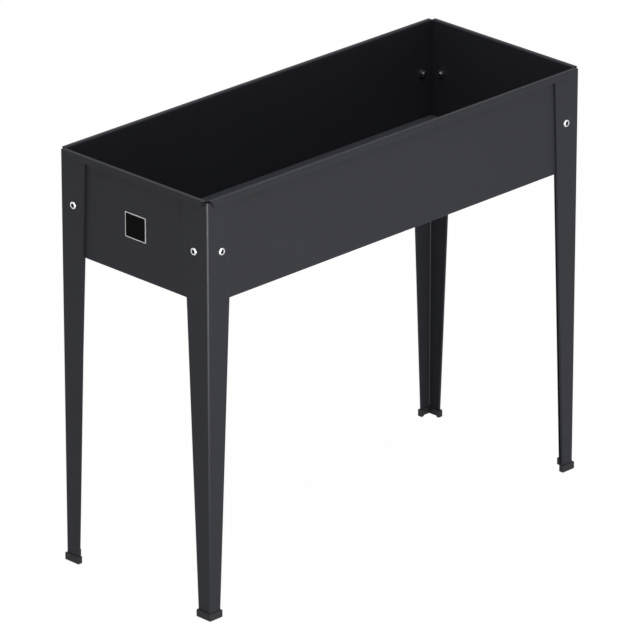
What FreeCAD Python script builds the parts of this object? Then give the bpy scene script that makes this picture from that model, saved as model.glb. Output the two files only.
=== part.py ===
import FreeCAD, Part
import math
import os
import re
import Sketcher
from FreeCAD import Placement, Rotation, Vector

# Driving sizes in millimetres. X runs along the bed, Y to its back and Z up from the ground,
# with the origin on the ground under the middle of the bed.
SIZES = {
    # Whole bed
    "bed_length": 800,  # over the outer faces of the legs
    "bed_width": 316,  # over the outer faces of the legs
    "bed_height": 678,  # ground to the top of the rim
    # Folded side panels
    "panel_depth": 167,  # top of the rim to the underside of the bottom flange
    "panel_gauge": 1.2,
    "panel_bend": 1.2,  # inside radius of every fold
    "panel_gap": 0.3,  # between the long panels and what stands between them
    "flange_reach": 18,  # bottom flange, past the inner face of the wall
    "hem_lip": 10,  # height of the lip that turns down over the leg tops
    "hem_clearance": 2.1,  # from the leg face to the inside of the lip
    "hem_mitre": 5.5,  # how far the lip draws back from the end of the hem
    # Tapered legs
    "leg_gauge": 1.5,
    "leg_bend": 1.5,  # inside radius of the corner fold
    "edge_bend": 0.3,  # inside radius where the free edges are returned
    "leg_depth": 4.5,  # outer face to the tips of the returned edges, which bear on the panels
    "leg_top_width": 53,  # of both flanges
    "long_foot_width": 22,  # foot of the flange on a long side
    "end_foot_width": 25.5,  # foot of the flange on an end
    "leg_top_play": 0.1,  # top of the leg below the fold of the hem
    # Foot caps
    "sole": 3,
    "cap_height": 12,
    "cap_wall": 2,
    "cap_fit": 0.2,  # play between cap and leg, all round
    "cap_corner": 1.6,  # outer radius, under the fold of the leg
    "cap_bevel": 0.8,
    # Fasteners, one bolt through each leg flange
    "bolt_inset": 28,  # from the outer corner of the leg
    "bolt_drop": 85,  # below the top of the rim
    "bolt_diameter": 6,
    "bolt_tail": 1.3,  # past the nut
    "bolt_play": 0.3,  # between bolt and hole, all round
    "head_diameter": 12,
    "head_height": 3.3,
    "head_edge": 0.9,  # height of the band round the head, under its slope
    "crown_diameter": 7.2,
    "socket_width": 5,  # across the flats
    "socket_depth": 2,
    "nut_width": 10,  # across the flats
    "nut_height": 5,
    "thread_play": 0.1,  # between bolt and nut, all round
    # Floor, a shallow tray turned upside down
    "floor_gauge": 1.2,
    "floor_bend": 1.2,  # inside radius
    "floor_rim": 6.8,  # height of the turned-down rim, outside
    "floor_play": 0.3,  # from the rim to the folds at the foot of the walls
    "floor_relief": 4,  # square taken out of each corner
    "drain_diameter": 10,
    "drain_columns": 4,
    "drain_rows": 2,
    "drain_end_margin": 90,  # from the end of the floor to the first hole
    "drain_side_margin": 80,
    # Blank plate in the middle of the left end, level with the bolts
    "plate_width": 44,
    "plate_height": 40,
    "plate_gauge": 0.8,
    "plate_border": 1.5,
    "plate_sink": 0.2,  # its field, below the border
    "plate_corner": 0.8,
    # How far a cutting outline runs past the material
    "overcut": 2,
}

# Levels above the ground
PANEL_BOTTOM = "(bed_height - panel_depth)"
FLOOR_SEAT = "(bed_height - panel_depth + panel_gauge)"
BOLT_LEVEL = "(bed_height - bolt_drop)"
LEG_TOP = "(bed_height - panel_gauge - panel_bend - leg_top_play)"

# From the middle of the bed to the outer faces of the walls
HALF_LENGTH = "(bed_length / 2 - leg_depth)"
HALF_WIDTH = "(bed_width / 2 - leg_depth)"

# Half lengths of walls, hems, flanges and floor
LONG_WALL = HALF_LENGTH
LONG_HEM = "(bed_length / 2 - leg_depth - panel_gauge - panel_gap)"
END_WALL = "(bed_width / 2 - leg_depth - panel_gauge - panel_gap)"
END_FLANGE = "(bed_width / 2 - leg_depth - panel_gauge - flange_reach - panel_gap)"
FLOOR_X = "(bed_length / 2 - leg_depth - panel_gauge - panel_bend - floor_play)"
FLOOR_Y = "(bed_width / 2 - leg_depth - panel_gauge - panel_bend - floor_play)"

BOLT_HOLE = "bolt_diameter + 2 * bolt_play"
BOLT_REACH = "leg_depth + panel_gauge + nut_height + bolt_tail"

# Side of the bed in X and in Y, and the turn that brings a corner piece there
CORNERS = {
    "front_left": (-1, -1, 0),
    "front_right": (1, -1, 90),
    "back_right": (1, 1, 180),
    "back_left": (-1, 1, 270),
}

doc = FreeCAD.newDocument("raised_garden_bed")
sheet = doc.addObject("Spreadsheet::Sheet", "Sizes")
for row, (alias, value) in enumerate(SIZES.items(), start=1):
    sheet.set(f"A{row}", alias)
    sheet.set(f"B{row}", str(value))
    sheet.setAlias(f"B{row}", alias)
doc.recompute()


def bound(text):
    """A formula in size names, as one that reads the cells of the sheet."""
    return re.sub("[a-z_]+", lambda word: "Sizes." + word[0] if word[0] in SIZES else word[0], text)


def origin_feature(body, role):
    return next(feature for feature in body.Origin.OriginFeatures if feature.Role == role)


def new_sketch(body, name, role, offset="0"):
    sketch = body.newObject("Sketcher::SketchObject", name)
    sketch.AttachmentSupport = (origin_feature(body, role), [""])
    sketch.MapMode = "FlatFace"
    sketch.setExpression("AttachmentOffset.Base.z", bound(offset))
    return sketch


def fix_point(sketch, geometry, end, point):
    """Tie one point of a sketch to a pair of formulas."""
    for kind, text in zip(("DistanceX", "DistanceY"), point):
        index = sketch.addConstraint(Sketcher.Constraint(kind, geometry, end, 1.0))
        sketch.setExpression(f"Constraints[{index}]", bound(text))


def draw_outline(sketch, corners):
    """Closed run of straight lines through named corners, each a pair of formulas."""
    count = len(corners)
    first = sketch.GeometryCount
    turns = [2 * math.pi * step / count for step in range(count)]
    ring = [Vector(math.cos(turn), math.sin(turn), 0) for turn in turns]
    for step in range(count):
        sketch.addGeometry(Part.LineSegment(ring[step], ring[(step + 1) % count]), False)
    for step in range(count):
        joint = Sketcher.Constraint("Coincident", first + step, 2, first + (step + 1) % count, 1)
        sketch.addConstraint(joint)
    for step, point in enumerate(corners.values()):
        fix_point(sketch, first + step, 1, point)


def draw_box(sketch, low, high):
    corners = {
        "low_left": low,
        "low_right": (high[0], low[1]),
        "high_right": high,
        "high_left": (low[0], high[1]),
    }
    draw_outline(sketch, corners)
    return corners


def draw_circle(sketch, centre, diameter):
    index = sketch.addGeometry(Part.Circle(Vector(), Vector(0, 0, 1), 1.0), False)
    fix_point(sketch, index, 3, centre)
    size = sketch.addConstraint(Sketcher.Constraint("Diameter", index, 1.0))
    sketch.setExpression(f"Constraints[{size}]", bound(diameter))


def draw_hexagon(sketch, flats):
    half = f"{flats} / 2"
    side = f"{flats} / 2 / sqrt(3)"
    draw_outline(sketch, {
        "right_low": (half, f"-{side}"),
        "right_high": (half, side),
        "top": ("0", f"{flats} / sqrt(3)"),
        "left_high": (f"-{half}", side),
        "left_low": (f"-{half}", f"-{side}"),
        "bottom": ("0", f"-{flats} / sqrt(3)"),
    })


def add_pad(body, name, sketch, length, symmetric=False, along_normal=True):
    pad = body.newObject("PartDesign::Pad", name)
    pad.Profile = sketch
    pad.SideType = "Symmetric" if symmetric else "One side"
    pad.Reversed = not along_normal
    pad.setExpression("Length", bound(length))
    doc.recompute()


def cut_away(body, name, sketch, length=None, along_normal=False):
    """Cut from the sketch, through everything if no length is given, and see that it cut."""
    before = body.Tip.Shape.Volume
    pocket = body.newObject("PartDesign::Pocket", name)
    pocket.Profile = sketch
    pocket.Reversed = along_normal
    if length is None:
        pocket.Type = "ThroughAll"
    else:
        pocket.setExpression("Length", bound(length))
    doc.recompute()
    if not pocket.Shape.Volume < before:
        raise RuntimeError(f"{name} cuts nothing")
    return pocket


def edges_from(body, sketch, corners, picks):
    """Edges that leave the sketch square to it, or nearly so, at the picked corners."""
    normal = sketch.Placement.Rotation.multVec(Vector(0, 0, 1))
    names = []
    for pick in picks:
        line = sketch.Geometry[list(corners).index(pick)]
        point = sketch.Placement.multVec(line.StartPoint)
        for number, edge in enumerate(body.Tip.Shape.Edges, start=1):
            if edge.distToShape(Part.Vertex(point))[0] > 1e-4:
                continue
            tangent = edge.tangentAt(edge.Curve.parameter(point))
            if abs(tangent.dot(normal)) > 0.9:
                names.append(f"Edge{number}")
    return names


def edges_along(body, low, high):
    """Edges on the straight line between two points."""
    line = Part.makeLine(low, high)
    names = []
    for number, edge in enumerate(body.Tip.Shape.Edges, start=1):
        if all(vertex.distToShape(line)[0] < 1e-4 for vertex in edge.Vertexes):
            names.append(f"Edge{number}")
    return names


def edges_round(body, level, outer):
    """Edges of the level face that looks up or, with outer false, looks down."""
    shape = body.Tip.Shape
    look = 1 if outer else -1
    for face in shape.Faces:
        if face.normalAt(0, 0).z * look > 0.99 and abs(face.CenterOfMass.z - level) < 1e-4:
            rim = face.OuterWire.Edges
            break
    return [f"Edge{number}" for number, edge in enumerate(shape.Edges, start=1)
            if any(edge.isSame(other) for other in rim)]


def dress_edges(body, kind, name, edges, setting, size):
    base = body.Tip
    dressing = body.newObject("PartDesign::" + kind, name)
    dressing.Base = (base, edges)
    dressing.setExpression(setting, bound(size))
    doc.recompute()


def round_corners(body, name, sketch, corners, picks, radius):
    dress_edges(body, "Fillet", name, edges_from(body, sketch, corners, picks), "Radius", radius)


def new_body(label):
    body = doc.addObject("PartDesign::Body", label)
    body.Label = label
    return body


def place(piece, turn, across, along):
    """Turn a piece about the upright and shift it by two formulas."""
    piece.Placement = Placement(Vector(), Rotation(Vector(0, 0, 1), turn))
    piece.setExpression("Placement.Base.x", bound(across))
    piece.setExpression("Placement.Base.y", bound(along))


def make_panel(label, overall, wall, hem, flange):
    """Folded panel facing -Y, with the outer face of its wall on Y = 0."""
    body = new_body(label)
    slot = "(leg_depth + hem_clearance)"
    profile = {
        "flange_tip": ("panel_gauge + flange_reach", PANEL_BOTTOM),
        "foot_outside": ("0", PANEL_BOTTOM),
        "hem_inside": ("0", "bed_height - panel_gauge"),
        "lip_inside": (f"-{slot}", "bed_height - panel_gauge"),
        "lip_tip_inside": (f"-{slot}", "bed_height - hem_lip"),
        "lip_tip": (f"-{slot} - panel_gauge", "bed_height - hem_lip"),
        "lip_outside": (f"-{slot} - panel_gauge", "bed_height"),
        "hem_outside": ("panel_gauge", "bed_height"),
        "foot_inside": ("panel_gauge", FLOOR_SEAT),
        "flange_tip_inside": ("panel_gauge + flange_reach", FLOOR_SEAT),
    }
    section = new_sketch(body, "section", "YZ_Plane")
    draw_outline(section, profile)
    add_pad(body, "sheet", section, f"2 * {wall}", symmetric=True)
    outside = ["foot_outside", "lip_outside", "hem_outside"]
    inside = ["foot_inside", "lip_inside", "hem_inside"]
    round_corners(body, "bends_outside", section, profile, outside, "panel_bend + panel_gauge")
    round_corners(body, "bends_inside", section, profile, inside, "panel_bend")

    # Hem ends drawn back on a slant, clear of the corner of the leg
    mitres = new_sketch(body, "mitres", "XZ_Plane")
    for side in (1, -1):
        draw_outline(mitres, {
            "above": (f"{side} * {hem}", "bed_height + overcut"),
            "hem_end": (f"{side} * {hem}", "bed_height"),
            "lip_end": (f"{side} * ({hem} - hem_mitre)", "bed_height - hem_lip"),
            "below": (f"{side} * ({hem} - hem_mitre)", "bed_height - hem_lip - overcut"),
            "outside_low": (f"{side} * ({wall} + overcut)", "bed_height - hem_lip - overcut"),
            "outside_high": (f"{side} * ({wall} + overcut)", "bed_height + overcut"),
        })
    cut_away(body, "hem_ends", mitres, along_normal=True)

    # Wall ends that run on past the hem are as high as the legs
    if wall != hem:
        tabs = new_sketch(body, "tabs", "XZ_Plane")
        for side in (1, -1):
            low = (f"{side} * {hem}", LEG_TOP)
            draw_box(tabs, low, (f"{side} * ({wall} + overcut)", "bed_height + overcut"))
        cut_away(body, "wall_ends", tabs)

    notches = new_sketch(body, "notches", "XY_Plane", PANEL_BOTTOM)
    for side in (1, -1):
        low = (f"{side} * {flange}", "panel_gauge")
        draw_box(notches, low, (f"{side} * ({wall} + overcut)", "panel_gauge + flange_reach + overcut"))
    cut_away(body, "flange_ends", notches, "panel_gauge + panel_bend", along_normal=True)

    holes = new_sketch(body, "holes", "XZ_Plane")
    for side in (1, -1):
        draw_circle(holes, (f"{side} * ({overall} / 2 - bolt_inset)", BOLT_LEVEL), BOLT_HOLE)
    cut_away(body, "bolt_holes", holes)
    return body


def make_floor():
    body = new_body("floor_panel")
    plan = new_sketch(body, "plan", "XY_Plane", FLOOR_SEAT)
    draw_box(plan, (f"-{FLOOR_X}", f"-{FLOOR_Y}"), (FLOOR_X, FLOOR_Y))
    add_pad(body, "block", plan, "floor_rim")
    hollow = new_sketch(body, "hollow", "XY_Plane", FLOOR_SEAT)
    low = (f"-{FLOOR_X} + floor_gauge", f"-{FLOOR_Y} + floor_gauge")
    draw_box(hollow, low, (f"{FLOOR_X} - floor_gauge", f"{FLOOR_Y} - floor_gauge"))
    cut_away(body, "underside", hollow, "floor_rim - floor_gauge", along_normal=True)
    top = sheet.bed_height - sheet.panel_depth + sheet.panel_gauge + sheet.floor_rim
    outside = edges_round(body, top, outer=True)
    dress_edges(body, "Fillet", "bend_outside", outside, "Radius", "floor_bend + floor_gauge")
    inside = edges_round(body, top - sheet.floor_gauge, outer=False)
    dress_edges(body, "Fillet", "bend_inside", inside, "Radius", "floor_bend")

    reliefs = new_sketch(body, "reliefs", "XY_Plane", f"{FLOOR_SEAT} + floor_rim")
    for side_x, side_y, _ in CORNERS.values():
        low = (f"{side_x} * ({FLOOR_X} - floor_relief)", f"{side_y} * ({FLOOR_Y} - floor_relief)")
        high = (f"{side_x} * ({FLOOR_X} + overcut)", f"{side_y} * ({FLOOR_Y} + overcut)")
        draw_box(reliefs, low, high)
    cut_away(body, "corner_reliefs", reliefs)

    drain = new_sketch(body, "drain", "XY_Plane", f"{FLOOR_SEAT} + floor_rim")
    first = (f"-{FLOOR_X} + drain_end_margin", f"-{FLOOR_Y} + drain_side_margin")
    draw_circle(drain, first, "drain_diameter")
    hole = cut_away(body, "drain_hole", drain)
    grid = body.newObject("PartDesign::LinearPattern", "drain_holes")
    grid.Originals = [hole]
    grid.Direction = (origin_feature(body, "X_Axis"), [""])
    grid.setExpression("Length", bound(f"2 * ({FLOOR_X} - drain_end_margin)"))
    grid.setExpression("Occurrences", bound("drain_columns"))
    grid.Direction2 = (origin_feature(body, "Y_Axis"), [""])
    grid.setExpression("Length2", bound(f"2 * ({FLOOR_Y} - drain_side_margin)"))
    grid.setExpression("Occurrences2", bound("drain_rows"))
    body.Tip = grid
    doc.recompute()
    return body


def make_leg(label, foot_widths):
    """Tapered L with both free edges returned inward, its flanges along +X and +Y."""
    body = new_body(label)
    sides = (("x", "XZ_Plane", False), ("y", "YZ_Plane", True))
    for (axis, role, along_normal), foot_width in zip(sides, foot_widths):
        flange = new_sketch(body, "flange_" + axis, role)
        draw_outline(flange, {
            "foot_corner": ("0", "sole"),
            "foot_edge": (foot_width, "sole"),
            "top_edge": ("leg_top_width", LEG_TOP),
            "top_corner": ("0", LEG_TOP),
        })
        add_pad(body, "flange_sheet_" + axis, flange, "leg_gauge", along_normal=along_normal)
        edge = new_sketch(body, "edge_" + axis, role)
        draw_outline(edge, {
            "foot_inside": (f"{foot_width} - leg_gauge", "sole"),
            "foot_edge": (foot_width, "sole"),
            "top_edge": ("leg_top_width", LEG_TOP),
            "top_inside": ("leg_top_width - leg_gauge", LEG_TOP),
        })
        add_pad(body, "returned_edge_" + axis, edge, "leg_depth", along_normal=along_normal)

    low = sheet.sole
    high = sheet.bed_height - sheet.panel_gauge - sheet.panel_bend - sheet.leg_top_play
    foot_x, foot_y = [sheet.get(foot_width) for foot_width in foot_widths]
    for face, inset, added in (("outside", 0, " + leg_gauge"), ("inside", sheet.leg_gauge, "")):
        corner = edges_along(body, Vector(inset, inset, low), Vector(inset, inset, high))
        dress_edges(body, "Fillet", "corner_" + face, corner, "Radius", "leg_bend" + added)
        top = sheet.leg_top_width - inset
        free = edges_along(body, Vector(foot_x - inset, inset, low), Vector(top, inset, high))
        free += edges_along(body, Vector(inset, foot_y - inset, low), Vector(inset, top, high))
        dress_edges(body, "Fillet", "edges_" + face, free, "Radius", "edge_bend" + added)

    for axis, role, along_normal in sides:
        hole = new_sketch(body, "hole_" + axis, role)
        draw_circle(hole, ("bolt_inset", BOLT_LEVEL), BOLT_HOLE)
        cut_away(body, "bolt_hole_" + axis, hole, along_normal=along_normal)
    return body


def leg_outline(foot_widths, play):
    """Section of a leg near its foot, grown by a play all round."""
    rise = f"(cap_height - sole) / ({LEG_TOP} - sole)"
    outside = f"-({play})"
    inside = f"leg_gauge + {play}"
    tip = f"leg_depth + {play}"
    near_x, near_y = [f"{width} - leg_gauge - ({play})" for width in foot_widths]
    end_x, end_y = [f"{width} + (leg_top_width - {width}) * {rise} + {play}" for width in foot_widths]
    return {
        "corner": (outside, outside),
        "end_x": (end_x, outside),
        "tip_x": (end_x, tip),
        "tip_x_inside": (near_x, tip),
        "arm_x_inside": (near_x, inside),
        "corner_inside": (inside, inside),
        "arm_y_inside": (inside, near_y),
        "tip_y_inside": (tip, near_y),
        "tip_y": (tip, end_y),
        "end_y": (outside, end_y),
    }


def make_foot_cap(label, foot_widths):
    """Shoe with a slot for the leg, which stands on its sole."""
    body = new_body(label)
    shoe = leg_outline(foot_widths, "cap_fit + cap_wall")
    plan = new_sketch(body, "plan", "XY_Plane")
    draw_outline(plan, shoe)
    add_pad(body, "shoe", plan, "cap_height")
    ends = ["end_x", "tip_x", "tip_x_inside", "tip_y_inside", "tip_y", "end_y"]
    round_corners(body, "corner", plan, shoe, ["corner"], "cap_corner")
    dress_edges(body, "Chamfer", "ends", edges_from(body, plan, shoe, ends), "Size", "cap_bevel")

    fit = leg_outline(foot_widths, "cap_fit")
    slot = new_sketch(body, "slot", "XY_Plane", "cap_height")
    draw_outline(slot, fit)
    cut_away(body, "leg_slot", slot, "cap_height - sole")
    round_corners(body, "slot_corner", slot, fit, ["corner"], "leg_bend + leg_gauge + cap_fit")
    round_corners(body, "slot_heel", slot, fit, ["corner_inside"], "leg_bend - cap_fit")
    for name, level, outer in (("top_edge", sheet.cap_height, True), ("sole_edge", 0, False)):
        dress_edges(body, "Chamfer", name, edges_round(body, level, outer), "Size", "cap_bevel")
    return body


def draw_plate(sketch, inset):
    half_width = f"(plate_width / 2 - {inset})"
    half_height = f"(plate_height / 2 - {inset})"
    low = (f"-{half_width}", f"{BOLT_LEVEL} - {half_height}")
    return draw_box(sketch, low, (half_width, f"{BOLT_LEVEL} + {half_height}"))


def make_plate(label):
    """Thin plate facing -Y, with its back on Y = 0 and its border proud of its field."""
    body = new_body(label)
    outline = new_sketch(body, "outline", "XZ_Plane")
    corners = draw_plate(outline, "0")
    add_pad(body, "plate", outline, "plate_gauge")
    round_corners(body, "corners", outline, corners, corners, "plate_corner")
    field = new_sketch(body, "field", "XZ_Plane", "plate_gauge")
    draw_plate(field, "plate_border")
    cut_away(body, "sunk_field", field, "plate_sink")
    return body


def make_bolt():
    """Button head bolt along +Z, with the seat of its head on Z = 0."""
    body = new_body("bolt")
    profile = new_sketch(body, "profile", "XZ_Plane")
    draw_outline(profile, {
        "crown": ("0", "-head_height"),
        "crown_edge": ("crown_diameter / 2", "-head_height"),
        "head_band": ("head_diameter / 2", "-head_edge"),
        "head_seat": ("head_diameter / 2", "0"),
        "neck": ("bolt_diameter / 2", "0"),
        "tip": ("bolt_diameter / 2", BOLT_REACH),
        "tip_centre": ("0", BOLT_REACH),
    })
    turned = body.newObject("PartDesign::Revolution", "turned")
    turned.Profile = profile
    turned.ReferenceAxis = (profile, ["V_Axis"])
    doc.recompute()
    key = new_sketch(body, "key", "XY_Plane", "-head_height")
    draw_hexagon(key, "socket_width")
    cut_away(body, "socket", key, "socket_depth", along_normal=True)
    return body


def make_nut():
    body = new_body("nut")
    flats = new_sketch(body, "flats", "XY_Plane", "leg_depth + panel_gauge")
    draw_hexagon(flats, "nut_width")
    draw_circle(flats, ("0", "0"), "bolt_diameter + 2 * thread_play")
    add_pad(body, "height", flats, "nut_height")
    return body


def fasten(panel, overall, name, piece):
    """A fastener at each end of a panel, measured inward from the outer face of the leg."""
    pair = []
    for side in (1, -1):
        copy = doc.addObject("App::Link", f"{name}_{panel.Label}_copy")
        copy.LinkedObject = piece
        copy.Placement = Placement(Vector(), Rotation(Vector(1, 0, 0), -90))
        copy.setExpression("Placement.Base.x", bound(f"{side} * ({overall} / 2 - bolt_inset)"))
        copy.setExpression("Placement.Base.y", bound("-leg_depth"))
        copy.setExpression("Placement.Base.z", bound(BOLT_LEVEL))
        pair.append(copy)
    group = doc.addObject("Part::Compound", f"{name}_{panel.Label}")
    group.Label = f"{name}_{panel.Label}"
    group.Links = pair
    return group


fasteners = {"bolts": make_bolt(), "nuts": make_nut()}
long_sizes = ("bed_length", LONG_WALL, LONG_HEM, LONG_HEM)
end_sizes = ("bed_width", END_WALL, END_WALL, END_FLANGE)
walls = {
    "front_panel": (0, "0", f"-{HALF_WIDTH}", long_sizes),
    "back_panel": (180, "0", HALF_WIDTH, long_sizes),
    "left_end_panel": (-90, f"-{HALF_LENGTH}", "0", end_sizes),
    "right_end_panel": (90, HALF_LENGTH, "0", end_sizes),
}

nodes = [make_floor()]
for label, (turn, across, along, sizes) in walls.items():
    panel = make_panel(label, *sizes)
    groups = [fasten(panel, sizes[0], name, piece) for name, piece in fasteners.items()]
    plates = [make_plate("label_plate")] if label == "left_end_panel" else []
    for piece in [panel, *groups, *plates]:
        place(piece, turn, across, along)
        nodes.append(piece)
for corner, (side_x, side_y, turn) in CORNERS.items():
    foot_widths = ("long_foot_width", "end_foot_width")
    if side_x != side_y:
        foot_widths = foot_widths[::-1]
    for piece in (make_leg("leg_" + corner, foot_widths), make_foot_cap("foot_cap_" + corner, foot_widths)):
        place(piece, turn, f"{side_x} * bed_length / 2", f"{side_y} * bed_width / 2")
        nodes.append(piece)
doc.recompute()

faults = [item.Name for item in doc.Objects if "Invalid" in item.State or "Error" in item.State]
faults += [node.Label for node in nodes if node.Shape.isNull() or not node.Shape.isValid()]
if faults:
    raise RuntimeError("failed: " + ", ".join(faults))

os.makedirs("parts", exist_ok=True)
for node in nodes:
    node.Shape.exportStep(f"parts/{node.Label}.step")
    print(node.Label, len(node.Shape.Solids), round(node.Shape.Volume))
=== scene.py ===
import bmesh
import bpy
import math
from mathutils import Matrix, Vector


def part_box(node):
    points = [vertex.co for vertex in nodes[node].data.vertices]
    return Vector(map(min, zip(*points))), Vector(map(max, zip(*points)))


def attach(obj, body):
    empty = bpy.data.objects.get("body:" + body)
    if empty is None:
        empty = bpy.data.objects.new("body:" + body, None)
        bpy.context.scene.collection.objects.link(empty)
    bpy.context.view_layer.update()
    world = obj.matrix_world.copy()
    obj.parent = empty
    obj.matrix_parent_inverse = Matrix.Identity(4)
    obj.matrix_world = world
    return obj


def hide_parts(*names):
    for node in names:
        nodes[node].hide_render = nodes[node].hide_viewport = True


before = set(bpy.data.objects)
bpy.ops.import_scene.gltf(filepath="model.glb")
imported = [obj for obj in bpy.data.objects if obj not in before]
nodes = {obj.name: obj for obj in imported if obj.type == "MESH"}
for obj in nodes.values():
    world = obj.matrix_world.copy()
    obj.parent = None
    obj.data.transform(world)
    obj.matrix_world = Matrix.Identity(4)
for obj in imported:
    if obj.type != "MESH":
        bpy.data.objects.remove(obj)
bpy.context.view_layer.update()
scene = bpy.context.scene
scene.view_settings.view_transform = "Standard"
print("bed loaded:", len(nodes), "nodes")


# Wraps a socket, so that shader and geometry maths reads as plain sums
class Wire:
    def __init__(self, tree, socket=None):
        self.tree = tree
        self.socket = socket

    def make(self, kind, settings=None, sockets=None, out=0):
        node = self.tree.nodes.new(kind)
        for name, value in (settings or {}).items():
            setattr(node, name, value)
        for name, value in (sockets or {}).items():
            target = node.inputs[name] if isinstance(name, int) else next(
                each for each in node.inputs if name in (each.identifier, each.name))
            for each in value if isinstance(value, list) else [value]:
                if isinstance(each, Wire):
                    self.tree.links.new(each.socket, target)
                else:
                    target.default_value = each
        if not node.outputs:
            return Wire(self.tree)
        sources = [each for each in node.outputs if out in (each.identifier, each.name)]
        return Wire(self.tree, sources[0] if sources else node.outputs[out])

    def calc(self, operation, first, second=0.0):
        return self.make("ShaderNodeMath", {"operation": operation}, {0: first, 1: second})

    def __add__(self, other):
        return self.calc("ADD", self, other)

    def __sub__(self, other):
        return self.calc("SUBTRACT", self, other)

    def __rsub__(self, other):
        return self.calc("SUBTRACT", other, self)

    def __mul__(self, other):
        return self.calc("MULTIPLY", self, other)

    __radd__ = __add__
    __rmul__ = __mul__

    def size(self):
        return self.calc("ABSOLUTE", self)

    def most(self, other):
        return self.calc("MAXIMUM", self, other)

    def part(self, axis):  # X, Y or Z of the coordinates in this wire
        return self.make("ShaderNodeSeparateXYZ", None, {"Vector": self}, axis)

    def ease(self, low, high):  # 0 below low, 1 above high
        return self.make("ShaderNodeMapRange", {"interpolation_type": "SMOOTHSTEP"},
                         {"Value": self, "From Min": low, "From Max": high})

    def grain(self, scale, detail):  # noise on the coordinates in this wire
        return self.make("ShaderNodeTexNoise", None, {"Vector": self, "Scale": scale, "Detail": detail})

    def swing(self, width):  # the noise in this wire, moved to vary about 0
        return (self - 0.5) * width

    def bump(self, strength, depth):  # this wire is the height
        return self.make("ShaderNodeBump", None, {"Strength": strength, "Distance": depth, "Height": self})

    def blend(self, first, second):  # this wire is the share of the second colour
        return self.make("ShaderNodeMix", {"data_type": "RGBA"},
                         {"Factor_Float": self, "A_Color": first, "B_Color": second}, "Result_Color")


def newFinish(name):
    finish = bpy.data.materials.new(name)
    finish.use_nodes = True
    finish.node_tree.nodes.clear()
    return finish, Wire(finish.node_tree)


def rgba(colour, share=1.0):
    return (*[min(1.0, level * share) for level in colour], 1.0)


# Noises are given as scale and detail, lengths in metres
powderCoat = {
    "colour": (0.0236, 0.0244, 0.0300),
    "floorPaintedLight": 1.9,         # painted light: the floor panel's coat is made this much lighter than the walls, for the light that falls in on it from above
    "drift": (7.0, 3.0),      # over a hand's width
    "mottle": 0.10,           # share of the colour that follows the drift
    "grain": (5200.0, 0.0),   # of the powder itself
    "speck": 0.10,            # share of the colour that follows the grain
    "peel": (620.0, 1.0),     # orange peel, about 1.5 mm from dimple to dimple
    "peelDepth": 0.00005,
    "peelStrength": 0.5,
    "specular": 0.105,
    "roughness": 0.50,
    "roughnessDrift": 0.10,
}
# The corner fold of a leg, where the powder flows out smoother and shinier. The depth is from the sharp
# corner, as X plus Y, where that starts and is full, and the shine is that at the foot and at full height
legFold = {
    "outer": {"depth": (0.0025, 0.0019), "shine": (0.10, 1.00)},
    "hollow": {"depth": (0.0046, 0.0042), "shine": (0.45, 1.00)},
    "fullHeight": 0.60,
    "sheet": (0.0013, 0.0012),   # under the outer faces, where the hollow side begins
    "roughness": 0.45,
}


def foldShine(spot):
    low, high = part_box("leg_front_right")
    across, along, height = [spot.part(axis).size() for axis in "XYZ"]
    rise = height.ease(0.0, legFold["fullHeight"])
    skin = (across - high.x).most(along + low.y)  # 0 on the outer faces
    behind = 1 - skin.ease(*[-depth for depth in legFold["sheet"]])
    shine = 0.0
    for side, share in (("outer", 1.0), ("hollow", behind)):
        least, most = legFold[side]["shine"]
        onFold = (across + along).ease(*[high.x - low.y - depth for depth in legFold[side]["depth"]])
        shine = onFold * share * (rise * (most - least) + least) + shine
    return shine


def makePowderCoat(name, paintedLight=1.0, folded=False):
    finish, wire = newFinish(name)
    spot = wire.make("ShaderNodeTexCoord", out="Object")
    drift = spot.grain(*powderCoat["drift"])
    peel = spot.grain(*powderCoat["peel"])
    share = drift * powderCoat["mottle"] + spot.grain(*powderCoat["grain"]) * powderCoat["speck"]
    middle = (powderCoat["mottle"] + powderCoat["speck"]) / 2  # of the share, where the colour is as given
    # painted light: paintedLight above 1 makes a lighter copy of the coat, standing in for light falling
    # on it
    low = rgba(powderCoat["colour"], paintedLight * (1 - middle))
    high = rgba(powderCoat["colour"], paintedLight * (2 - middle))
    shader = wire.make("ShaderNodeBsdfPrincipled", None, {
        "Base Color": share.blend(low, high),
        "Roughness": drift.swing(powderCoat["roughnessDrift"]) + powderCoat["roughness"],
        "Specular IOR Level": powderCoat["specular"],
        "Coat Weight": foldShine(spot) if folded else 0.0,
        "Coat Roughness": legFold["roughness"],
        "Normal": peel.bump(powderCoat["peelStrength"], powderCoat["peelDepth"]),
    })
    wire.make("ShaderNodeOutputMaterial", None, {"Surface": shader})
    return finish


shoePlastic = {
    "colour": (0.015, 0.015, 0.018),
    "scuffed": (0.050, 0.050, 0.052),
    "scuffHeight": (0.0004, 0.0022),   # up from the ground, where scuffs begin to fade and where they end
    "scuffShare": 0.5,
    "scuffRoughness": 0.2,    # added where scuffed
    "rub": (240.0, 4.0),
    "rubbed": (0.50, 0.72),   # noise at which a scuff starts and is full
    "grain": (1800.0, 2.0),
    "grainDepth": 0.00006,
    "grainStrength": 0.6,
    "specular": 0.225,
    "roughness": 0.58,
}


def makeShoePlastic():
    finish, wire = newFinish("shoePlastic")
    spot = wire.make("ShaderNodeTexCoord", out="Object")
    grain = spot.grain(*shoePlastic["grain"])
    rub = spot.grain(*shoePlastic["rub"]).ease(*shoePlastic["rubbed"])
    scuff = (1 - spot.part("Z").ease(*shoePlastic["scuffHeight"])) * rub * shoePlastic["scuffShare"]
    shader = wire.make("ShaderNodeBsdfPrincipled", None, {
        "Base Color": scuff.blend(rgba(shoePlastic["colour"]), rgba(shoePlastic["scuffed"])),
        "Roughness": scuff * shoePlastic["scuffRoughness"] + shoePlastic["roughness"],
        "Specular IOR Level": shoePlastic["specular"],
        "Normal": grain.bump(shoePlastic["grainStrength"], shoePlastic["grainDepth"]),
    })
    wire.make("ShaderNodeOutputMaterial", None, {"Surface": shader})
    return finish


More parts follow.
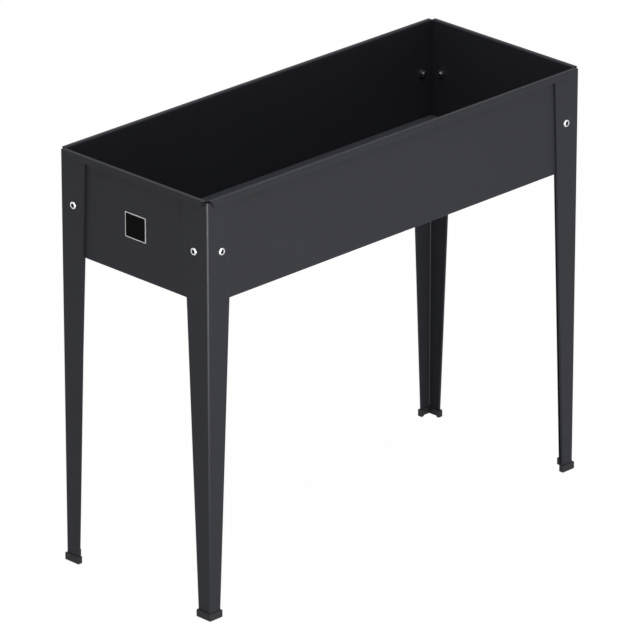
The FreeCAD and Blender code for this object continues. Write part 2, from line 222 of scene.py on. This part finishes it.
zincPlate = {
    "colour": (0.74, 0.75, 0.76),
    "dull": (0.50, 0.51, 0.53),
    "shade": (0.010, 0.010, 0.011),   # painted shade in the sockets, and the colour of the darker threads
    "nutShadeShare": 0.75,         # painted shade: the nuts, inside the bed, get this share of both colours
    "bloom": (420.0, 3.0),    # cloudy patches of the plating
    "bloomed": (0.45, 0.75),  # noise at which the dull colour starts and is full
    "fine": (3000.0, 1.0),
    "fineDepth": 0.00002,
    "fineStrength": 0.3,
    "roughness": 0.30,
    "roughnessDrift": 0.20,
}


# A share below 1 makes a darker copy of the plating, as painted shade
def makeZincPlate(name, share=1.0):
    finish, wire = newFinish(name)
    spot = wire.make("ShaderNodeTexCoord", out="Object")
    bloom = spot.grain(*zincPlate["bloom"])
    fine = spot.grain(*zincPlate["fine"])
    # painted shade: this attribute darkens the bolt's socket for the shade inside it, and darkens the
    # threads
    grime = wire.make("ShaderNodeAttribute", {"attribute_name": "grime"}, None, "Fac")
    plated = bloom.ease(*zincPlate["bloomed"]).blend(
        rgba(zincPlate["colour"], share), rgba(zincPlate["dull"], share))
    shader = wire.make("ShaderNodeBsdfPrincipled", None, {
        "Base Color": grime.blend(plated, rgba(zincPlate["shade"])),
        "Metallic": 1.0,
        "Roughness": bloom.swing(zincPlate["roughnessDrift"]) + zincPlate["roughness"],
        "Normal": fine.bump(zincPlate["fineStrength"], zincPlate["fineDepth"]),
    })
    wire.make("ShaderNodeOutputMaterial", None, {"Surface": shader})
    return finish


blankPlate = {
    "field": (0.002, 0.002, 0.0025),
    "border": (0.72, 0.72, 0.73),
    "borderWidth": 0.0013,
    "borderBlur": 0.0001,
    "wisp": (900.0, 2.0),
    "specular": 0.02,
    "roughness": 0.42,
    "roughnessDrift": 0.12,
}


def makeBlankPlate():
    low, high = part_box("label_plate")
    centre = (low + high) / 2
    half = (high - low) / 2
    finish, wire = newFinish("blankPlate")
    spot = wire.make("ShaderNodeTexCoord", out="Object")
    sideways = (spot.part("Y") - centre.y).size() - half.y
    upward = (spot.part("Z") - centre.z).size() - half.z
    outside = sideways.most(upward)  # 0 on the edge
    inner, blur = -blankPlate["borderWidth"], blankPlate["borderBlur"]
    onBorder = outside.ease(inner - blur, inner + blur)
    wisp = spot.grain(*blankPlate["wisp"])
    shader = wire.make("ShaderNodeBsdfPrincipled", None, {
        "Base Color": onBorder.blend(rgba(blankPlate["field"]), rgba(blankPlate["border"])),
        "Roughness": wisp.swing(blankPlate["roughnessDrift"]) + blankPlate["roughness"],
        "Specular IOR Level": blankPlate["specular"],
    })
    wire.make("ShaderNodeOutputMaterial", None, {"Surface": shader})
    return finish


def dress(node, finish):
    mesh = nodes[node].data
    mesh.materials.clear()
    mesh.materials.append(finish)


sheetSteel = makePowderCoat("sheetSteel")
legSteel = makePowderCoat("legSteel", folded=True)
# painted light: the floor panel gets a lighter copy of the same coat, for the light that falls in from
# above
floorSteelPaintedLight = makePowderCoat("floorSteelPaintedLight", powderCoat["floorPaintedLight"])
shoes = makeShoePlastic()
brightZinc = makeZincPlate("brightZinc")
# painted shade: a darker copy of the zinc for the nuts inside the bed
nutZincPaintedShade = makeZincPlate("nutZincPaintedShade", zincPlate["nutShadeShare"])
plate = makeBlankPlate()
finishes = {"floor_panel": floorSteelPaintedLight, "leg": legSteel, "label_plate": plate, "foot_cap": shoes,
            "bolts": brightZinc, "nuts": brightZinc}
for node in nodes:
    dress(node, next((finish for start, finish in finishes.items() if node.startswith(start)), sheetSteel))
print("finishes:", len(bpy.data.materials))


sharpAngle = math.radians(32)


# Turns rings into a mesh: each is a list of points, joined to the next ring, with its own share of
# darkening (painted shade in a bolt's socket, darker threads)
def ringMesh(name, rings, grime, closed):
    mesh = bmesh.new()
    layer = mesh.verts.layers.float.new("grime")
    rows = [[mesh.verts.new(point) for point in ring] for ring in rings]
    for row, share in zip(rows, grime):
        for vertex in row:
            vertex[layer] = share
    for near, far in zip(rows, rows[1:]):
        for step in range(len(near)):
            after = (step + 1) % len(near)
            mesh.faces.new((near[step], near[after], far[after], far[step]))
    if closed:
        mesh.faces.new(list(reversed(rows[0])))
        mesh.faces.new(rows[-1])
    bmesh.ops.recalc_face_normals(mesh, faces=mesh.faces)
    made = bpy.data.meshes.new(name)
    mesh.to_mesh(made)
    mesh.free()
    made.shade_smooth()
    made.set_sharp_from_angle(angle=sharpAngle)
    return made


def circle(radius, height, steps):
    turns = [2 * math.pi * step / steps for step in range(steps)]
    return [(radius * math.cos(turn), radius * math.sin(turn), height) for turn in turns]


def hexagon(flats, height, steps):  # the same number of points on each side
    side = math.pi / 3
    points = []
    for step in range(steps):
        turn = 2 * math.pi * step / steps
        lean = (turn + side / 2) % side - side / 2  # from the middle of the side
        reach = flats / 2 / math.cos(lean)
        points.append((reach * math.cos(turn), reach * math.sin(turn), height))
    return points


buttonBolt = {
    "headWidth": 0.0120,
    "headHeight": 0.0030,
    "headEdge": 0.0009,       # upright edge under the dome
    "edgeBevel": 0.15,        # share of that edge
    "domeSteps": 10,
    "crown": 0.0076,          # flat round the socket, across
    "leadIn": 0.0073,         # mouth of the socket, across
    "leadDepth": 0.0006,
    "socketFlats": 0.0057,
    "socketDepth": 0.0020,
    "socketBevel": 0.0002,    # at the foot of its walls
    "drillPoint": (0.30, 0.86),   # tip and rim, as shares of the socket's width
    "drillDepth": 0.0005,
    "socketShade": (1.0, 1.0, 1.0, 0.8, 0.1),   # painted shade in the socket, from the drill point out to the mouth
    "shank": 0.0060,
    "pitch": 0.0010,
    "threadDepth": 0.00045,
    "threadStart": 0.0004,
    "threadEnd": 0.0006,      # before the tip
    # the threads are drawn this much darker
    "threadDarkening": 0.75,
    "tipBevel": 0.0005,
    "steps": 48,
    "seed": 4,
}


# One bolt along +Z, with the seat of its head at the origin
def makeBolt():
    size = buttonBolt
    steps = size["steps"]
    top = -size["headHeight"]
    rim = size["headWidth"] / 2
    edge = size["headEdge"]
    bevel = edge * size["edgeBevel"]
    crown = size["crown"] / 2
    flats = size["socketFlats"]
    bottom = top + size["socketDepth"]
    drillTip, drillRim = size["drillPoint"]
    rings = [
        hexagon(flats * drillTip, bottom + size["drillDepth"], steps),
        hexagon(flats * drillRim, bottom, steps),
        hexagon(flats, bottom - size["socketBevel"], steps),
        hexagon(flats, top + size["leadDepth"], steps),
        circle(size["leadIn"] / 2, top, steps),
        circle(crown, top, steps),
    ]
    # painted shade in the socket rings
    grime = list(size["socketShade"])
    for step in range(1, size["domeSteps"] + 1):
        lean = math.pi / 2 * step / size["domeSteps"]
        rings.append(circle(crown + (rim - crown) * math.sin(lean),
                            top + (size["headHeight"] - edge) * (1 - math.cos(lean)), steps))
    shank = size["shank"] / 2
    rings += [circle(rim, -bevel, steps), circle(rim - bevel, 0.0, steps), circle(shank, 0.0, steps)]
    grime += [0.0] * (len(rings) - len(grime))

    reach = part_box("bolts_front_panel")[1].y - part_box("leg_front_left")[0].y
    height = size["threadStart"]
    while height + size["pitch"] < reach - size["threadEnd"]:  # thread, as close rings
        rings += [circle(shank, height, steps),
                  circle(shank - size["threadDepth"], height + size["pitch"] / 2, steps)]
        height += size["pitch"]
    rings += [circle(shank, height, steps),
              circle(shank, reach - size["tipBevel"], steps),
              circle(shank - size["tipBevel"], reach, steps)]
    grime += [size["threadDarkening"]] * (len(rings) - len(grime))
    return ringMesh("buttonBolt", rings, grime, True)


hexNut = {
    "flats": 0.0100,
    "height": 0.0050,
    "bore": 0.0062,
    "boreLead": (0.0005, 0.0006),   # bevel at both mouths, outward and along
    "face": 0.0094,           # round face inside the chamfer, across
    "lean": 30.0,             # chamfer, degrees
    "steps": 48,
    "seed": 9,
}


# One nut along +Z, with its seat at the origin
def makeNut():
    size = hexNut
    steps = size["steps"]
    height = size["height"]
    face = size["face"] / 2
    bore = size["bore"] / 2
    outward, lead = size["boreLead"]
    mouth = bore + outward
    slope = math.tan(math.radians(size["lean"]))
    outline = hexagon(size["flats"], 0.0, steps)
    drops = [max(0.0, math.hypot(x, y) - face) * slope for x, y, _ in outline]
    lowSide = [(x, y, drop) for (x, y, _), drop in zip(outline, drops)]
    highSide = [(x, y, height - drop) for (x, y, _), drop in zip(outline, drops)]
    rings = [circle(bore, lead, steps), circle(mouth, 0.0, steps), circle(face, 0.0, steps), lowSide,
             highSide, circle(face, height, steps), circle(mouth, height, steps),
             circle(bore, height - lead, steps), circle(bore, lead, steps)]
    return ringMesh("hexNut", rings, [], False)


# Sets one fastener at both ends of every wall, turned as it came to rest
def makeFastenerTree(name, finish):
    tree = bpy.data.node_groups.new(name, "GeometryNodeTree")
    tree.interface.new_socket("Fastener", in_out="INPUT", socket_type="NodeSocketGeometry")
    for label in ("Reach X", "Reach Y", "Inset", "Level", "Depth"):
        tree.interface.new_socket(label, in_out="INPUT", socket_type="NodeSocketFloat")
    tree.interface.new_socket("Seed", in_out="INPUT", socket_type="NodeSocketInt")
    tree.interface.new_socket("Fasteners", in_out="OUTPUT", socket_type="NodeSocketGeometry")
    wire = Wire(tree)
    given = tree.nodes.new("NodeGroupInput")
    sources = list(given.outputs)[:-1]  # the last one is the spare socket
    fastener, reachX, reachY, inset, level, depth, seed = [Wire(tree, source) for source in sources]
    alongX = reachX - inset
    alongY = reachY - inset
    sides = {  # half the row, how far out it stands and to which side, and the turn that points it inward
        "front": (alongX, reachY, -1, "X", -90),
        "back": (alongX, reachY, 1, "X", 90),
        "left": (alongY, reachX, -1, "Y", 90),
        "right": (alongY, reachX, 1, "Y", -90),
    }
    rows = []
    for along, across, sign, axis, turn in sides.values():
        face = (across - depth) * sign
        lean = math.radians(turn)
        ends = []
        for end in (-1, 1):
            x, y = (along * end, face) if axis == "X" else (face, along * end)
            ends.append(wire.make("ShaderNodeCombineXYZ", None, {"X": x, "Y": y, "Z": level}))
        line = wire.make("GeometryNodeMeshLine", {"mode": "END_POINTS"},
                         {"Count": len(ends), "Start Location": ends[0], "Offset": ends[1]})
        rotation = (lean, 0, 0) if axis == "X" else (0, lean, 0)
        rows.append(wire.make("GeometryNodeInstanceOnPoints", None,
                              {"Points": line, "Instance": fastener, "Rotation": rotation}))
    joined = wire.make("GeometryNodeJoinGeometry", None, {"Geometry": rows})
    spin = wire.make("FunctionNodeRandomValue", {"data_type": "FLOAT"},
                     {"Min_001": 0.0, "Max_001": math.pi / 3, "Seed": seed}, "Value_001")
    rotation = wire.make("ShaderNodeCombineXYZ", None, {"Z": spin})
    turned = wire.make("GeometryNodeRotateInstances", None,
                       {"Instances": joined, "Rotation": rotation, "Local Space": True})
    solid = wire.make("GeometryNodeRealizeInstances", None, {"Geometry": turned})
    dressed = wire.make("GeometryNodeSetMaterial", None, {"Geometry": solid, "Material": finish})
    wire.make("NodeGroupOutput", None, {"Fasteners": dressed})
    return tree


def setFasteners(name, mesh, finish, depth, seed, replaced):
    legLow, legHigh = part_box("leg_front_right")
    boltLow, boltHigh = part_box("bolts_front_panel")
    given = {
        "Reach X": legHigh.x,
        "Reach Y": -legLow.y,
        "Inset": legHigh.x - (boltHigh.x - buttonBolt["headWidth"] / 2),
        "Level": (boltLow.z + boltHigh.z) / 2,
        "Depth": depth,
        "Seed": seed,
    }
    piece = bpy.data.objects.new(name, mesh)
    scene.collection.objects.link(piece)
    tree = makeFastenerTree(name + "Rows", finish)
    modifier = piece.modifiers.new("rows", "NODES")
    modifier.node_group = tree
    for socket in tree.interface.items_tree:
        if socket.in_out == "INPUT" and socket.name in given:
            modifier[socket.identifier] = given[socket.name]
    baked = bpy.data.meshes.new_from_object(piece.evaluated_get(bpy.context.evaluated_depsgraph_get()))
    piece.modifiers.clear()
    piece.data = baked
    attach(piece, "root")
    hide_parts(*replaced)
    print(name, len(baked.polygons), "faces")


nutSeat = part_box("nuts_front_panel")[0].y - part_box("leg_front_left")[0].y
setFasteners("buttonBolts", makeBolt(), brightZinc, 0.0, buttonBolt["seed"],
             [node for node in nodes if node.startswith("bolts")])
setFasteners("hexNuts", makeNut(), nutZincPaintedShade, nutSeat, hexNut["seed"],
             [node for node in nodes if node.startswith("nuts")])


shot = {
    "azimuth": -45.040,       # degrees round from the front, to the left
    "elevation": 22.725,
    "distance": 10.0960,
    "focalPixels": 6554.50,
    "imagePixels": 640,
    "aim": (-0.005600, -0.012549, 0.340),   # right and up from a point at this height over the origin
    "sensorWidth": 36.0,      # mm
    "farEnd": 100.0,
}


def makeCamera():
    turn = math.radians(shot["azimuth"])
    rise = math.radians(shot["elevation"])
    back = Vector((math.sin(turn) * math.cos(rise), -math.cos(turn) * math.cos(rise), math.sin(rise)))
    right = Vector((math.cos(turn), math.sin(turn), 0))
    up = back.cross(right)
    lens = bpy.data.cameras.new("camera")
    lens.sensor_width = shot["sensorWidth"]
    lens.lens = shot["focalPixels"] * lens.sensor_width / shot["imagePixels"]
    lens.clip_end = shot["farEnd"]
    camera = bpy.data.objects.new("camera", lens)
    aimRight, aimUp, aimHeight = shot["aim"]
    target = Vector((0, 0, aimHeight)) + right * aimRight + up * aimUp
    camera.location = target + back * shot["distance"]
    camera.rotation_mode = "QUATERNION"
    camera.rotation_quaternion = (-back).to_track_quat("-Z", "Y")
    scene.collection.objects.link(camera)
    scene.camera = camera
    print("lens", round(lens.lens, 1))


studio = {
    "skyLevel": 0.20,         # light from all round
    "groundColour": (0.88, 0.88, 0.88),
    "groundGlow": 0.985,      # share of the ground that reads as plain white
    "groundReach": 30.0,
    "aim": (0, 0, 0.5),       # of a lamp that has none of its own
}
lamps = {
    "top": {"power": 59.0, "size": (3.0, 3.0), "place": (-0.4, -0.5, 3.15)},
    "key": {"power": 50.5, "size": (2.0, 0.8), "place": (-0.1, -2.7, 0.38)},
    "left": {"power": 15.8, "size": (0.8, 1.5), "place": (-2.8, -0.3, 0.40)},
    "back": {"power": 22.0, "size": (2.0, 0.8), "place": (0.1, 2.7, 0.38)},
    "right": {"power": 14.0, "size": (0.8, 1.5), "place": (2.8, 0.3, 0.40)},
    "fold": {"power": 7.0, "size": (0.35, 0.35), "place": (-1.25, -1.01, 0.38),
             "aim": (-0.4, -0.158, 0.5), "onFlats": False},   # shows in reflections only
}


def paleRays(wire):  # 1 for rays that look at the backdrop, straight or in a reflection
    seen = [wire.make("ShaderNodeLightPath", None, None, kind)
            for kind in ("Is Camera Ray", "Is Glossy Ray", "Is Transmission Ray")]
    return seen[0].most(seen[1]).most(seen[2])


def makeSky():
    sky = bpy.data.worlds.new("studio")
    scene.world = sky
    sky.use_nodes = True
    sky.node_tree.nodes.clear()
    wire = Wire(sky.node_tree)
    glow = wire.make("ShaderNodeBackground", None, {
        "Color": (1, 1, 1, 1),
        "Strength": paleRays(wire) * (1 - studio["skyLevel"]) + studio["skyLevel"],
    })
    wire.make("ShaderNodeOutputWorld", None, {"Surface": glow})


def makeGround():
    finish, wire = newFinish("paleGround")
    plain = wire.make("ShaderNodeBsdfDiffuse", None, {"Color": rgba(studio["groundColour"])})
    white = wire.make("ShaderNodeEmission", None, {"Color": (1, 1, 1, 1), "Strength": 1.0})
    share = paleRays(wire) * studio["groundGlow"]
    both = wire.make("ShaderNodeMixShader", None, {0: share, 1: plain, 2: white})
    wire.make("ShaderNodeOutputMaterial", None, {"Surface": both})
    reach = studio["groundReach"]
    corners = [(x * reach, y * reach, 0) for x, y in ((-1, -1), (1, -1), (1, 1), (-1, 1))]
    mesh = bpy.data.meshes.new("ground")
    mesh.from_pydata(corners, [], [(0, 1, 2, 3)])
    mesh.materials.append(finish)
    ground = bpy.data.objects.new("ground", mesh)
    scene.collection.objects.link(ground)


def makeLamps():
    for name, given in lamps.items():
        lamp = bpy.data.lights.new(name + "Light", "AREA")
        lamp.shape = "ELLIPSE"
        lamp.size, lamp.size_y = given["size"]
        lamp.energy = given["power"]
        light = bpy.data.objects.new(name + "Light", lamp)
        light.location = given["place"]
        aim = Vector(given.get("aim", studio["aim"]))
        light.rotation_mode = "QUATERNION"
        light.rotation_quaternion = (aim - light.location).to_track_quat("-Z", "Y")
        light.visible_camera = False
        light.visible_diffuse = given.get("onFlats", True)
        scene.collection.objects.link(light)


makeCamera()
makeSky()
makeGround()
makeLamps()
print("studio set")
